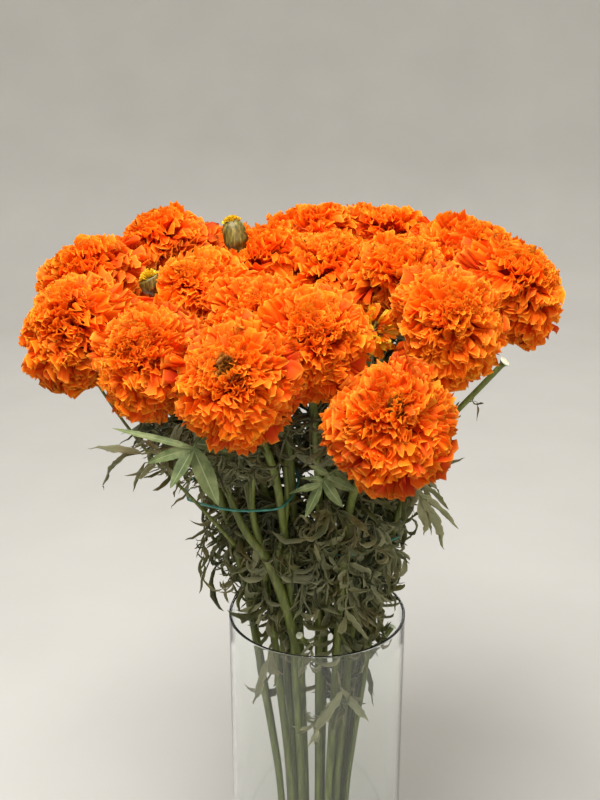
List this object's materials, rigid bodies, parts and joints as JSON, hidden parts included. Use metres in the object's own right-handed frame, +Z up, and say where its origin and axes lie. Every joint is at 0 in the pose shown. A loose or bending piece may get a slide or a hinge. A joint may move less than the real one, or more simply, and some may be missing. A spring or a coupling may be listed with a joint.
{
  "type": "marigold bouquet in a glass vase",
  "caption": "Bouquet of full orange marigolds with bare stems, buds and feathered leaves, held in two elastic ties and standing in a clear straight-sided glass vase.",
  "frame": {"origin": "centre of the vase's flat underside", "axes": "+Z up along the vase's axis; the bouquet's front faces -Y; +X to the viewer's right"},
  "size_m": [0.3202, 0.3537, 0.5139],
  "materials": {
    "glass": "clear polished glass",
    "tie": "teal-green elastic, matt",
    "petals": "soft orange ruffled petals, redder in their folds",
    "stem": "olive green, finely ribbed, slightly waxy",
    "bud": "olive green sepals with a yellow tip",
    "spent_flower": "narrow orange-brown florets in a green-brown cup",
    "fresh_leaf": "mid green, matt",
    "wilted_leaf": "dry grey-green, curled"
  },
  "bodies": {
    "root": {"vase": "glass", "tie_left": "tie", "tie_right": "tie", "head_front_right": "petals", "head_front_left": "petals", "head_lower_left": "petals", "head_far_left": "petals", "head_upper_left": "petals", "head_top_left": "petals", "head_middle_left": "petals", "head_centre_left": "petals", "head_centre_front": "petals", "head_inner_left": "petals", "head_top_middle": "petals", "head_top_right": "petals", "head_centre": "petals", "head_right_front": "petals", "head_centre_right": "petals", "head_upper_right": "petals", "head_far_right": "petals", "head_left_hollow": "petals", "head_right_hollow": "petals", "head_rear_left": "petals", "head_rear_middle": "petals", "head_rear_right": "petals", "head_rear_far_right": "petals", "stem_front_right": "stem", "stem_front_left": "stem", "stem_lower_left": "stem", "stem_far_left": "stem", "stem_upper_left": "stem", "stem_top_left": "stem", "stem_middle_left": "stem", "stem_centre_left": "stem", "stem_centre_front": "stem", "stem_inner_left": "stem", "stem_top_middle": "stem", "stem_top_right": "stem", "stem_centre": "stem", "stem_right_front": "stem", "stem_centre_right": "stem", "stem_upper_right": "stem", "stem_far_right": "stem", "stem_left_hollow": "stem", "stem_right_hollow": "stem", "stem_rear_left": "stem", "stem_rear_middle": "stem", "stem_rear_right": "stem", "stem_rear_far_right": "stem", "bare_stem": "stem", "closed_bud": "bud", "half_open_bud": "bud", "spent_flower": "spent_flower", "fresh_leaf_left": "fresh_leaf", "fresh_leaf_right": "fresh_leaf", "wilted_leaf_far_left": "wilted_leaf", "wilted_leaf_right": "wilted_leaf", "hanging_leaf_left": "wilted_leaf", "hanging_leaf_front": "wilted_leaf", "rear_leaf": "wilted_leaf"}
  },
  "joints": []
}
